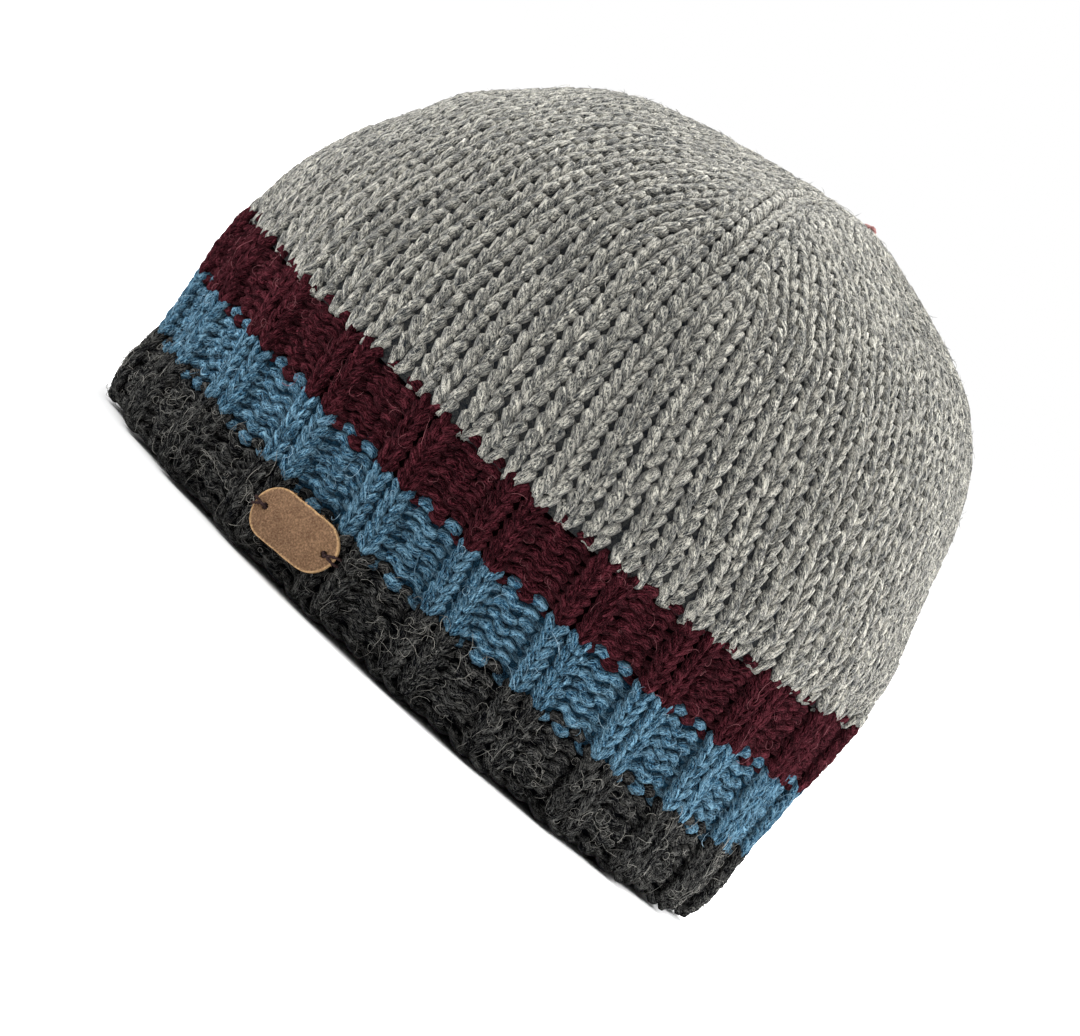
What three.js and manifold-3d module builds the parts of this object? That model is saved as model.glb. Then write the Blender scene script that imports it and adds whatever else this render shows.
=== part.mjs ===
// Knit beanie: a 2x2 ribbed band in three stripes, knitted in one with a stockinette crown.
// Millimetres, +Z up. The rim rests on z = 0, and the hat's front faces -Y.
import * as THREE from "three";
import { mergeVertices } from "three/addons/utils/BufferGeometryUtils.js";
import Module from "manifold-3d";

// Driving dimensions
const wallThickness = 4.2;
const pieceGap = 0.3;
const rimRounding = 1.2;

// Outline of the hat from the front: a row for each level section, from the rim to the pole.
// lean is how far the section's middle stands towards +X.
const sections = [
  { height: 0, halfWidth: 91.4, lean: 1.4 },
  { height: 9, halfWidth: 93.5, lean: 1.1 },
  { height: 22, halfWidth: 92.8, lean: 1.0 },
  { height: 35, halfWidth: 93.5, lean: 0.0 },
  { height: 48, halfWidth: 94.4, lean: -0.7 },
  { height: 61, halfWidth: 93.7, lean: -0.2 },
  { height: 74, halfWidth: 91.0, lean: -0.3 },
  { height: 86, halfWidth: 86.6, lean: -0.1 },
  { height: 98, halfWidth: 81.4, lean: 0.9 },
  { height: 109, halfWidth: 76.4, lean: 2.0 },
  { height: 119, halfWidth: 69.2, lean: 3.9 },
  { height: 127.7, halfWidth: 60.3, lean: 5.3 },
  { height: 134.1, halfWidth: 50.2, lean: 7.1 },
  { height: 139, halfWidth: 37.6, lean: 9.6 },
  { height: 143.2, halfWidth: 24.0, lean: 11.0 },
  { height: 146.7, halfWidth: 11.6, lean: 12.9 },
  { height: 148.3, halfWidth: 0, lean: 16.2 },
];

// Stripes of the ribbed band, from the rim up. top is measured along the wall from the rim, and the
// stripe's upper edge stands rise higher than that on the side that faces highSide.
const highSide = THREE.MathUtils.degToRad(-10);
const stripes = [
  { name: "rim_band_charcoal", top: 20.2, rise: 1.5, rows: 2, colour: 0x363636, roughness: 0.97 },
  { name: "band_blue", top: 36.9, rise: 5.3, rows: 2, colour: 0x4f81a3, roughness: 0.95 },
  { name: "band_maroon", top: 55.2, rise: 6.4, rows: 2, colour: 0x5c242c, roughness: 0.95 },
];

// Ribbing: proud knit ribs between recessed purl ones, which lean a little as they climb.
const ribs = 22;
const ribDepth = 2.2;
const ribFirstAngle = THREE.MathUtils.degToRad(-87.3);
const ribDrift = THREE.MathUtils.degToRad(-3);
const ribSteepness = 2.2;
const purlBias = 0.18;
const ribFadeLength = 12;

// Crown shaping: ridges where the decreases line up, with flatter fields between them.
const spines = 4;
const spineDepth = 1.3;
const spineFirstAngle = THREE.MathUtils.degToRad(-93.9);
const spineStart = 0.3;

// Soft dents of the crown: a row for each, at an angle and a distance up the wall.
const dents = [
  { angle: 176, distance: 128, depth: 1.4, angleSpread: 26, distanceSpread: 17 },
  { angle: 20, distance: 158, depth: 1.0, angleSpread: 22, distanceSpread: 9 },
  { angle: 75, distance: 122, depth: 1.6, angleSpread: 20, distanceSpread: 16 },
  { angle: 118, distance: 104, depth: 1.0, angleSpread: 15, distanceSpread: 13 },
];

// Mesh fineness
const ringSegments = ribs * 6;
const crownSegments = 88;
const crownOuterRows = 15;
const crownInnerRows = 12;

// Leather label, sewn on the charcoal stripe
const label = {
  width: 23.6,
  height: 12.6,
  thickness: 1.4,
  angle: THREE.MathUtils.degToRad(-111.6),
  centreHeight: 12.9,
  turn: THREE.MathUtils.degToRad(2),
  holeOffset: 9.1,
  holeRadius: 1.0,
  strips: 12,
};
const thread = { radius: 0.5, sides: 6, steps: 12 };

// Yarn end that closes the crown
const tie = {
  radius: 0.9,
  sides: 8,
  steps: 8,
  reach: 3.4,
  arch: 0.25,
  turn: THREE.MathUtils.degToRad(20),
};

const wasm = await Module();
wasm.setup();

// The outline as one smooth curve: x holds half the width, y the lean and z the height.
const outline = new THREE.CatmullRomCurve3(
  sections.map(({ height, halfWidth, lean }) => new THREE.Vector3(halfWidth, lean, height)),
  false,
  "catmullrom",
  0.5,
);
outline.arcLengthDivisions = 400;
const wallLength = outline.getLength();
const bandTop = stripes[stripes.length - 1].top;

// How far up the wall a stripe ends, at an angle round the hat
const stripeTop = ({ top, rise }, angle) => top + rise * Math.max(0, Math.cos(angle - highSide)) ** 2;

// A point of the smooth wall, at an angle round the hat and a distance up from the rim
function wallPoint(angle, distance) {
  const section = outline.getPointAt(THREE.MathUtils.clamp(distance / wallLength, 0, 1));
  return new THREE.Vector3(
    section.y + section.x * Math.cos(angle),
    section.x * Math.sin(angle),
    section.z,
  );
}

// The wall's outward direction there. At the pole it is straight up.
function wallNormal(angle, distance) {
  const step = 0.5;
  if (distance > wallLength - step) return new THREE.Vector3(0, 0, 1);
  const around = new THREE.Vector3(-Math.sin(angle), Math.cos(angle), 0);
  const low = wallPoint(angle, Math.max(distance - step, 0));
  const high = wallPoint(angle, distance + step);
  return around.cross(high.sub(low)).normalize();
}

// 1 on a knit rib, 0 in a purl one
function ribWave(angle, distance) {
  const lean = (ribDrift * distance) / bandTop;
  const wave = Math.cos(ribs * (angle - ribFirstAngle - lean)) - purlBias;
  return 0.5 + (0.5 * Math.tanh(ribSteepness * wave)) / Math.tanh(ribSteepness);
}

// How far the fabric stands above the smooth wall
function relief(angle, distance) {
  const past = (distance - stripeTop(stripes[stripes.length - 1], angle)) / ribFadeLength;
  const ribShare = 1 - THREE.MathUtils.smoothstep(past, 0, 1);
  const ribbing = -ribDepth * (1 - ribWave(angle, distance)) * ribShare;
  const up = THREE.MathUtils.clamp((distance - bandTop) / (wallLength - bandTop), 0, 1);
  const spineShare = Math.sin(Math.PI * THREE.MathUtils.smoothstep(up, spineStart, 1));
  const spine = spineDepth * spineShare * Math.cos(spines * (angle - spineFirstAngle));
  const dented = dents.reduce((sum, dent) => {
    const turned = angle - THREE.MathUtils.degToRad(dent.angle);
    const apart = Math.atan2(Math.sin(turned), Math.cos(turned));
    const across = apart / THREE.MathUtils.degToRad(dent.angleSpread);
    const along = (distance - dent.distance) / dent.distanceSpread;
    return sum + dent.depth * Math.exp(-across * across - along * along);
  }, 0);
  return ribbing + spine - dented;
}

// A point of the fabric, depth millimetres below its outer face
function fabricPoint(angle, distance, depth) {
  const raised = distance > wallLength - 0.5 ? 0 : relief(angle, distance);
  return wallPoint(angle, distance).addScaledVector(wallNormal(angle, distance), raised - depth);
}

// A piece of wall. The profile is turned first: its x is 2 on the outer face, 1 on the inner and
// 0 on the axis, and its y runs from 0 at the piece's lower edge to 1 at its upper. Each vertex is
// then carried to the fabric by place(angle, share, inside).
function fabric(profile, segments, place) {
  const turned = new THREE.LatheGeometry(
    profile.map(([x, y]) => new THREE.Vector2(x, y)),
    segments,
  );
  const positions = turned.getAttribute("position");
  const profileCount = profile.length;
  for (let index = 0; index < positions.count; index += 1) {
    const angle = (Math.floor(index / profileCount) / segments) * 2 * Math.PI;
    const [side, share] = profile[index % profileCount];
    const point = place(angle, share, side === 1 || share < 0);
    positions.setXYZ(index, point.x, point.y, point.z);
  }
  return closed(turned);
}

// A geometry with shared vertices and its own normals
function closed(geometry) {
  geometry.deleteAttribute("normal");
  geometry.deleteAttribute("uv");
  const merged = mergeVertices(geometry, 1e-4);
  merged.computeVertexNormals();
  return merged;
}

function solidOf(geometry) {
  const merged = closed(geometry);
  return new wasm.Manifold(
    new wasm.Mesh({
      numProp: 3,
      vertProperties: merged.getAttribute("position").array,
      triVerts: new Uint32Array(merged.index.array),
    }),
  );
}

function geometryOf(solid) {
  const { vertProperties, triVerts } = solid.getMesh();
  const geometry = new THREE.BufferGeometry();
  geometry.setAttribute("position", new THREE.BufferAttribute(vertProperties, 3));
  geometry.setIndex(new THREE.BufferAttribute(triVerts, 1));
  geometry.computeVertexNormals();
  return geometry;
}

// One stripe of the band, a corrugated ring with an even wall
function stripeRing(index) {
  const { rows } = stripes[index];
  const isRim = index === 0;
  const shares = Array.from({ length: rows + 1 }, (_, row) => row / rows);
  const profile = [
    ...shares.map((share) => [2, share]),
    ...shares.map((share) => [1, 1 - share]),
    [2, 0],
  ];
  const place = (angle, share, inside) => {
    const low = isRim ? 0 : stripeTop(stripes[index - 1], angle) + pieceGap;
    const high = stripeTop(stripes[index], angle);
    const distance = low + (high - low) * share;
    const rounding = isRim && share === 0 && !inside ? rimRounding : 0;
    const point = fabricPoint(angle, distance, inside ? wallThickness : rounding);
    if (isRim && share === 0) point.z = 0;
    return point;
  };
  return fabric(profile, ringSegments, place);
}

// The crown, a hollow dome closed at the pole
function crownDome() {
  const outer = Array.from({ length: crownOuterRows }, (_, row) => [2, row / crownOuterRows]);
  const inner = Array.from({ length: crownInnerRows }, (_, row) => [1, row / crownInnerRows]);
  const profile = [[0, -1], ...inner.reverse(), ...outer, [0, 1]];
  const place = (angle, share, inside) => {
    const low = stripeTop(stripes[stripes.length - 1], angle) + pieceGap;
    const distance = low + (wallLength - low) * Math.abs(share);
    return fabricPoint(angle, distance, inside ? wallThickness : 0);
  };
  return fabric(profile, crownSegments, place);
}

// A round cord along a path
function cordAlong(points, { radius, sides, steps }) {
  const path = new THREE.CatmullRomCurve3(points);
  const outlinePoints = Array.from({ length: sides }, (_, side) => {
    const turn = (side / sides) * 2 * Math.PI;
    return new THREE.Vector2(radius * Math.cos(turn), radius * Math.sin(turn));
  });
  return new THREE.ExtrudeGeometry(new THREE.Shape(outlinePoints), { steps, extrudePath: path });
}

// The label's own place: across is measured round the band, up along it and out from its face
const labelSection = outline.getPointAt(label.centreHeight / wallLength);
const labelSeat = labelSection.x + pieceGap;

function labelPoint(across, up, out) {
  const turnedAcross = across * Math.cos(label.turn) - up * Math.sin(label.turn);
  const turnedUp = across * Math.sin(label.turn) + up * Math.cos(label.turn);
  const angle = label.angle + turnedAcross / labelSeat;
  const radius = labelSeat + out;
  return new THREE.Vector3(
    labelSection.y + radius * Math.cos(angle),
    radius * Math.sin(angle),
    label.centreHeight + turnedUp,
  );
}

function bentRoundBand(geometry) {
  const positions = geometry.getAttribute("position");
  for (let index = 0; index < positions.count; index += 1) {
    const point = labelPoint(positions.getX(index), positions.getY(index), positions.getZ(index));
    positions.setXYZ(index, point.x, point.y, point.z);
  }
  return geometry;
}

// A strip of leather with round ends, curved with the band and pierced at both ends
function labelLeather() {
  const { width, height, thickness, strips, holeOffset, holeRadius } = label;
  const slab = new THREE.BoxGeometry(width, height, thickness, strips, 1, 1);
  slab.translate(0, 0, thickness / 2);
  const half = (width - height) / 2;
  const capsule = new THREE.Shape();
  capsule.absarc(half, 0, height / 2, -Math.PI / 2, Math.PI / 2, false);
  capsule.absarc(-half, 0, height / 2, Math.PI / 2, (3 * Math.PI) / 2, false);
  const cutter = new THREE.ExtrudeGeometry(capsule, {
    depth: 3 * thickness,
    bevelEnabled: false,
    curveSegments: 12,
  });
  cutter.translate(0, 0, -thickness);
  const pierce = (side) => {
    const hole = new THREE.CylinderGeometry(holeRadius, holeRadius, 4 * thickness, 10);
    hole.rotateX(Math.PI / 2);
    return solidOf(hole.translate(side * holeOffset, 0, 0));
  };
  const flat = solidOf(slab).intersect(solidOf(cutter)).subtract(pierce(-1)).subtract(pierce(1));
  return bentRoundBand(geometryOf(flat));
}

// A stitch that comes up through one of the label's holes and goes down past its end
function labelThread(side) {
  const over = label.thickness + pieceGap + thread.radius;
  const past = label.width / 2 + pieceGap + thread.radius;
  const route = [
    { across: label.holeOffset, out: 0.3 },
    { across: label.holeOffset, out: label.thickness },
    { across: label.holeOffset + 0.7, out: over + 0.35 },
    { across: past - 0.5, out: over + 0.1 },
    { across: past, out: label.thickness },
    { across: past, out: 0.3 },
  ];
  const points = route.map(({ across, out }) => labelPoint(side * across, 0, out));
  return closed(cordAlong(points, thread));
}

// The short yarn end that lies over the closed stitches at the pole
function crownTie() {
  const pole = wallPoint(0, wallLength);
  const rest = pole.z + pieceGap + tie.radius;
  const route = [
    { along: -tie.reach, out: -tie.arch },
    { along: -tie.reach / 3, out: tie.arch },
    { along: tie.reach / 3, out: tie.arch },
    { along: tie.reach, out: -tie.arch },
  ];
  const points = route.map(
    ({ along, out }) =>
      new THREE.Vector3(
        pole.x + along * Math.cos(tie.turn),
        pole.y + along * Math.sin(tie.turn),
        rest + out,
      ),
  );
  return closed(cordAlong(points, tie));
}

const beanie = new THREE.Group();

function addPiece(name, geometry, colour, roughness) {
  const material = new THREE.MeshStandardMaterial({ color: colour, roughness, metalness: 0 });
  const piece = new THREE.Mesh(geometry, material);
  piece.name = name;
  beanie.add(piece);
}

stripes.forEach(({ name, colour, roughness }, index) => {
  addPiece(name, stripeRing(index), colour, roughness);
});
addPiece("crown", crownDome(), 0x8b8b85, 0.95);
addPiece("crown_tie", crownTie(), 0x7c3038, 0.95);
addPiece("leather_label", labelLeather(), 0x8c6c55, 0.62);
addPiece("thread_left", labelThread(-1), 0x2c2024, 0.8);
addPiece("thread_right", labelThread(1), 0x2c2024, 0.8);

export default beanie;
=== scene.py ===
import bpy
import math
import numpy as np
from mathutils import Matrix


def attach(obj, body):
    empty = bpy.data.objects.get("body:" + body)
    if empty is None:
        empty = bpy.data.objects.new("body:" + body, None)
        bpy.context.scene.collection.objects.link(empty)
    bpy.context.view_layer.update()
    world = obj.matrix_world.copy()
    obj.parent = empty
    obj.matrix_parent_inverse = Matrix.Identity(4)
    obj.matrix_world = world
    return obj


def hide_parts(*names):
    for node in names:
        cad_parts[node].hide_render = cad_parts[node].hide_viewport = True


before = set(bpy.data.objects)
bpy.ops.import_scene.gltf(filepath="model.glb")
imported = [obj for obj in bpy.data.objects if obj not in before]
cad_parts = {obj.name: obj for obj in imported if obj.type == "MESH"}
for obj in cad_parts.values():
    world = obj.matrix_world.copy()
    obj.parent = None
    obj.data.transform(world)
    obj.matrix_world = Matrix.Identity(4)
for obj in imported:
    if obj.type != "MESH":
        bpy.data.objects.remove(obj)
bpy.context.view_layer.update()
print("frame loaded:", len(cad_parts), "nodes")

mm = 0.001  # lengths below are in millimetres and become metres when a mesh is made
turn = 2 * math.pi


# The hat's form, the same as its solids: outline rows go from the rim to the pole
hat = {
    "outline": [  # height, half the width, how far the middle leans to +X
        (0, 91.4, 1.4),
        (9, 93.5, 1.1),
        (22, 92.8, 1.0),
        (35, 93.5, 0.0),
        (48, 94.4, -0.7),
        (61, 93.7, -0.2),
        (74, 91.0, -0.3),
        (86, 86.6, -0.1),
        (98, 81.4, 0.9),
        (109, 76.4, 2.0),
        (119, 69.2, 3.9),
        (127.7, 60.3, 5.3),
        (134.1, 50.2, 7.1),
        (139, 37.6, 9.6),
        (143.2, 24.0, 11.0),
        (146.7, 11.6, 12.9),
        (148.3, 0, 16.2),
    ],
    "ribs": 22,
    "ribDepth": 2.2,
    "ribFirstAngle": math.radians(-87.3),
    "ribDrift": math.radians(-3),
    "ribSteepness": 2.2,
    "purlBias": 0.18,
    "ribFadeLength": 12,
    "spines": 4,
    "spineDepth": 1.3,
    "spineFirstAngle": math.radians(-93.9),
    "spineStart": 0.3,
    "dents": [  # angle, distance up the wall, depth, spread in angle and in distance
        (176, 128, 1.4, 26, 17),
        (20, 158, 1.0, 22, 9),
        (75, 122, 1.6, 20, 16),
        (118, 104, 1.0, 15, 13),
    ],
    "poleFlat": 0.5,  # how near to the pole the relief ends
    "overhang": 4,  # how far below the rim a stitch may hang
}

# Where each stripe ends, measured up the wall, and how much higher its edge is on the high side
highSide = math.radians(-10)
stripes = {
    "charcoal": {"top": 20.2, "rise": 1.5},
    "blue": {"top": 36.9, "rise": 5.3},
    "maroon": {"top": 55.2, "rise": 6.4},
}


def smoothStep(value, low, high):
    share = np.clip((value - low) / (high - low), 0, 1)
    return share * share * (3 - 2 * share)


def smoothOutline(rows, perSpan=60):
    # a smooth curve through the rows, and the length along it at each of its points
    row = np.array(rows, float)
    row = np.vstack([2 * row[0] - row[1], row, 2 * row[-1] - row[-2]])
    t = np.linspace(0, 1, perSpan, endpoint=False)[:, None]
    spans = [
        0.5 * (2 * b + (c - a) * t + (2 * a - 5 * b + 4 * c - d) * t**2 + (3 * b - a - 3 * c + d) * t**3)
        for a, b, c, d in zip(row, row[1:], row[2:], row[3:])
    ]
    curve = np.vstack(spans + [row[-2:-1]])
    steps = np.linalg.norm(np.diff(curve, axis=0), axis=1)
    return np.concatenate([[0], np.cumsum(steps)]), curve


outlineLength, outlineCurve = smoothOutline(hat["outline"])
wallLength = outlineLength[-1]
bandTop = stripes["maroon"]["top"]


def stripeTop(name, angle):
    stripe = stripes[name]
    return stripe["top"] + stripe["rise"] * np.maximum(0, np.cos(angle - highSide)) ** 2


def unit(vectors):
    return vectors / np.maximum(np.linalg.norm(vectors, axis=-1, keepdims=True), 1e-9)


def outlineAt(distance):  # height, half the width and the lean at a distance up the wall
    return (np.interp(distance, outlineLength, column) for column in outlineCurve.T)


def wallPoint(angle, distance):
    height, halfWidth, lean = outlineAt(distance)
    return np.stack([lean + halfWidth * np.cos(angle), halfWidth * np.sin(angle), height], axis=-1)


def wallNormal(angle, distance, step=0.5):
    around = np.stack([-np.sin(angle), np.cos(angle), 0 * angle], axis=-1)
    upward = wallPoint(angle, distance + step) - wallPoint(angle, np.maximum(distance - step, 0))
    atPole = (distance > wallLength - step)[..., None]
    return np.where(atPole, [0.0, 0.0, 1.0], unit(np.cross(around, upward)))


def ribWave(angle, distance):  # 1 on a knit rib, 0 in a purl one
    lean = hat["ribDrift"] * distance / bandTop
    wave = np.cos(hat["ribs"] * (angle - hat["ribFirstAngle"] - lean)) - hat["purlBias"]
    return 0.5 + 0.5 * np.tanh(hat["ribSteepness"] * wave) / math.tanh(hat["ribSteepness"])


def relief(angle, distance):
    ribShare = 1 - smoothStep((distance - stripeTop("maroon", angle)) / hat["ribFadeLength"], 0, 1)
    height = -hat["ribDepth"] * (1 - ribWave(angle, distance)) * ribShare
    up = np.clip((distance - bandTop) / (wallLength - bandTop), 0, 1)
    spineShare = np.sin(math.pi * smoothStep(up, hat["spineStart"], 1))
    height += hat["spineDepth"] * spineShare * np.cos(hat["spines"] * (angle - hat["spineFirstAngle"]))
    for dentAngle, dentDistance, depth, angleSpread, distanceSpread in hat["dents"]:
        turned = angle - math.radians(dentAngle)
        across = np.arctan2(np.sin(turned), np.cos(turned)) / math.radians(angleSpread)
        along = (distance - dentDistance) / distanceSpread
        height -= depth * np.exp(-across**2 - along**2)
    return np.where(distance > wallLength - hat["poleFlat"], 0, height)


def fabricPoint(angle, distance, out):
    # a place on the outer face of the knitting, or out mm off it, and the way out there
    distance = np.clip(distance, -hat["overhang"], wallLength)
    normal = wallNormal(angle, distance)
    below = np.minimum(distance, 0)[..., None] * [0.0, 0.0, 1.0]
    proud = (relief(angle, distance) + out)[..., None]
    return wallPoint(angle, distance) + below + normal * proud, normal


# Yarn and stitches. A stitch runs from one side of its column to the other, over its head.
knitSize = {
    "radius": 1.38,
    "neck": 0.218,  # how far the loop closes in at its foot, in stitch widths
    "close": 0.04,  # how far its two legs stand nearer to each other than to their neighbours
    "reach": 0.95,  # how far head and foot reach from the middle, in courses
    "front": 0.2,  # how much more of the loop lies in front than behind
    "depth": 1.2,  # how far head and foot lie behind the legs
    "sink": 0.6,  # how much deeper the foot lies than the head
    "skew": 0.01,  # how far the head is pulled sideways past the foot
    "swirl": [  # distance up the wall, how far the columns have turned there in degrees
        (58, 0), (75, -1.3), (90, -2.8), (100, -4), (110, -5.6), (120, -7.2), (130, -9), (140, -10.8),
        (150, -13.5), (163, -20), (178, -33), (190, -46), (203, -60),
    ],
}
ribSize = {
    "radius": 1.22,
    "neck": 0.225,
    "close": 0.045,
    "reach": 0.85,
    "front": 0.2,
    "depth": 1.0,
    "sink": 0.15,
    "skew": 0.01,
    "swirl": [(0, 0)],
}
yarn = {
    "steps": 12,  # rings along one stitch
    "sides": 6,
    "purlNeck": 0.1,  # neck and reach of a stitch that shows its back
    "purlReach": 0.75,
    "purlPlump": 1.1,
    "swell": 0.1,  # how much plumper the yarn is where it lies on the face
    "flat": 2.0,  # how flat a leg lies on the face before it dips behind
    "footEnd": 0.35,  # how far up a stitch still follows the one below, in courses
    "headStart": 0.1,  # from where it follows the one above, and how closely
    "headPull": 0.8,
    "unevenAcross": 0.045,
    "unevenAlong": 0.07,
    "unevenOut": 0.15,
    "unevenRadius": 0.07,
}


def softNoise(rng, count, perNode, length):
    nodes = rng.normal(size=count)
    place = np.arange(length) / perNode
    low = np.floor(place).astype(int)
    share = smoothStep(place - low, 0, 1)
    return nodes[low % count] * (1 - share) + nodes[(low + 1) % count] * share


def nearest(angles, reference):
    return reference + (angles - reference + math.pi) % turn - math.pi


def courseLine(rng, own, foot, head, kinds, distanceOf, size):
    # own, foot and head are the angles of each column's middle, at its foot and at its head
    count, steps = len(own), yarn["steps"]
    t = np.tile(np.arange(steps) / steps, count)
    column = np.repeat(np.arange(count), steps)
    kind = kinds[column]  # 1 for a knit stitch, -1 for a purl one
    before, after = np.roll(kinds, 1)[column], np.roll(kinds, -1)[column]

    def uneven(key):
        return yarn[key] * softNoise(rng, 2 * count, steps / 2, len(t))

    # the loop itself: along the column, across it and out of the face
    swing = np.cos(2 * turn * t)
    along = -np.where(kind > 0, size["reach"], yarn["purlReach"]) * np.cos(turn * t)
    neck = np.where(kind > 0, size["neck"], yarn["purlNeck"])
    across = t - 0.5 + neck * np.sin(2 * turn * t) + size["close"] * np.sin(turn * t) * (kind > 0)
    across += size["skew"] * along
    lying = np.tanh(yarn["flat"] * (size["front"] * kind - swing)) / math.tanh(yarn["flat"])
    out = (size["depth"] * lying - size["sink"] * np.cos(turn * t)) * kind
    entering = np.cos(turn * np.clip(t, 0, 0.25)) ** 2
    leaving = np.cos(turn * np.clip(1 - t, 0, 0.25)) ** 2
    out += size["depth"] * ((kind - before) * entering + (kind - after) * leaving) / 2
    across = across + uneven("unevenAcross")
    along = along + uneven("unevenAlong")
    out = out + uneven("unevenOut")

    # its place on the hat, between the stitches below and above
    place = column + across
    index = np.arange(-2, count + 2)
    wrap = np.floor(index / count) * turn
    footShare = 1 - smoothStep(along, -size["reach"], yarn["footEnd"])
    headShare = yarn["headPull"] * smoothStep(along, yarn["headStart"], size["reach"])
    shares = ((foot, footShare), (head, headShare), (own, 1 - footShare - headShare))
    angle = sum(share * np.interp(place, index, row[index % count] + wrap) for row, share in shares)
    distance = distanceOf(angle, along)
    angle = angle + np.radians(np.interp(distance, *np.array(size["swirl"]).T))

    plump = 1 - yarn["swell"] * swing * kind
    radius = size["radius"] * np.where(kind > 0, 1, yarn["purlPlump"]) * plump
    radius = radius * (1 + uneven("unevenRadius"))
    middle = -(size["radius"] + size["depth"])
    points, normals = fabricPoint(angle, distance, middle + out)
    return {"points": points, "normals": normals, "radius": radius, "out": middle + out, "middle": middle}


def yarnFrames(points, normals):
    along = unit(np.roll(points, -1, axis=0) - np.roll(points, 1, axis=0))
    side = unit(np.cross(along, normals))
    return along, side, np.cross(side, along)


def meshPiece(name, verts, faces):
    mesh = bpy.data.meshes.new(name)
    mesh.from_pydata(verts * mm, [], faces)
    mesh.polygons.foreach_set("use_smooth", np.ones(len(mesh.polygons), bool))
    mesh.update()
    piece = bpy.data.objects.new(name, mesh)
    bpy.context.collection.objects.link(piece)
    mesh.calc_loop_triangles()
    print(name, "has", len(mesh.loop_triangles), "triangles")
    return piece


def attribute(piece, name, values):
    layer = piece.data.attributes.new(name, "FLOAT", "POINT")
    layer.data.foreach_set("value", values.astype(np.float32))


def ringFaces(rings, sides):
    # faces between closed rings of points, the last ring joined to the first
    i, k = np.indices((rings, sides))
    nextI, nextK = (i + 1) % rings, (k + 1) % sides
    corners = [i * sides + k, nextI * sides + k, nextI * sides + nextK, i * sides + nextK]
    return np.stack(corners, axis=-1).reshape(-1, 4)


def yarnPiece(name, courses):
    # every course is one closed tube; its UV map runs round the yarn and along it, in mm
    sides = yarn["sides"]
    verts, faces, uvs, paintedShadeDepths, start = [], [], [], [], 0
    bend = turn * np.arange(sides) / sides
    for course in courses:
        points, normals, radius = course["points"], course["normals"], course["radius"]
        _, side, up = yarnFrames(points, normals)
        ring = np.cos(bend)[None, :, None] * side[:, None] + np.sin(bend)[None, :, None] * up[:, None]
        rings = points[:, None] + ring * radius[:, None, None]
        rise = np.einsum("ikc,ic->ik", ring, normals) * radius[:, None]
        # how far each point lies below the knitting's face, for the painted shade in the crevices
        paintedShadeDepths.append(1 - np.abs((course["out"][:, None] + rise) / course["middle"] - 1).reshape(-1))
        count = len(points)
        steps = np.linalg.norm(np.roll(points, -1, axis=0) - points, axis=1)
        length = np.concatenate([[0], np.cumsum(steps)])
        i, k = np.indices((count, sides))
        u0, u1 = k / sides, (k + 1) / sides
        v0, v1 = length[i], length[i + 1]
        uvs.append(np.stack([u0, v0, u0, v1, u1, v1, u1, v0], axis=-1).reshape(-1))
        verts.append(rings.reshape(-1, 3))
        faces.append(ringFaces(count, sides) + start)
        start += count * sides
    piece = meshPiece(name, np.concatenate(verts), np.concatenate(faces))
    piece.data.uv_layers.new(name="yarn").uv.foreach_set("vector", np.concatenate(uvs).astype(np.float32))
    attribute(piece, "cover", np.clip(np.concatenate(paintedShadeDepths), 0, 1))
    return piece


def feltAndShadePiece(name, low, high, look):
    # the matted fibres between the stitches, as a thin closed wall inside the yarn; its colour, darker than
    # the yarn's, is partly painted shade in the gaps
    around, rows = look["around"], look["rows"]
    angle = np.arange(around) * turn / around
    share = (np.arange(rows + 1) / rows)[:, None]
    distance = low(angle)[None] * (1 - share) + high(angle)[None] * share
    angles = np.broadcast_to(angle, distance.shape)
    wave = ribWave(angles, distance)
    foot, head = look["depth"]
    depth = foot + (head - foot) * share**0.5 + look["dip"] * 4 * wave * (1 - wave)
    outer = fabricPoint(angles, distance, -depth)[0]
    inner = fabricPoint(angles, distance, -depth - look["thickness"])[0][::-1]
    loop = np.concatenate([outer, inner])
    facingOut = ringFaces(len(loop), around)[:, [0, 3, 2, 1]]
    return meshPiece(name, loop.reshape(-1, 3), facingOut)


def strands(lines, radii, sides=3):
    # thin closed strands: lines is strand by point by xyz, the last point is the tip
    count, steps = lines.shape[:2]
    along = unit(np.gradient(lines, axis=1))
    nearX = np.abs(along[..., :1]) > 0.8
    side = unit(np.cross(along, np.where(nearX, [0, 1.0, 0], [1.0, 0, 0])))
    up = np.cross(along, side)
    bend = turn * np.arange(sides) / sides
    ring = np.cos(bend)[:, None] * side[:, :-1, None] + np.sin(bend)[:, None] * up[:, :-1, None]
    rings = lines[:, :-1, None] + ring * radii[:, :, None, None]
    perStrand = sides * (steps - 1) + 1
    verts = np.concatenate([rings.reshape(count, -1, 3), lines[:, -1:]], axis=1)
    start = (np.arange(count) * perStrand)[:, None, None]
    last = sides * (steps - 2)
    quads = [
        [sides * r + k, sides * r + (k + 1) % sides, sides * (r + 1) + (k + 1) % sides, sides * (r + 1) + k]
        for r in range(steps - 2) for k in range(sides)
    ]
    tips = [[last + k, last + (k + 1) % sides, last + sides] for k in range(sides)]
    faces = (np.array([range(sides - 1, -1, -1)])[None] + start).reshape(-1, sides).tolist()
    if quads:
        faces += (np.array(quads)[None] + start).reshape(-1, 4).tolist()
    faces += (np.array(tips)[None] + start).reshape(-1, 3).tolist()
    return verts.reshape(-1, 3), faces, perStrand


def fibrePiece(name, lines, radii, tones):
    verts, faces, perStrand = strands(lines, radii)
    piece = meshPiece(name, verts, faces)
    attribute(piece, "tone", np.repeat(tones, perStrand))
    return piece


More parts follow.
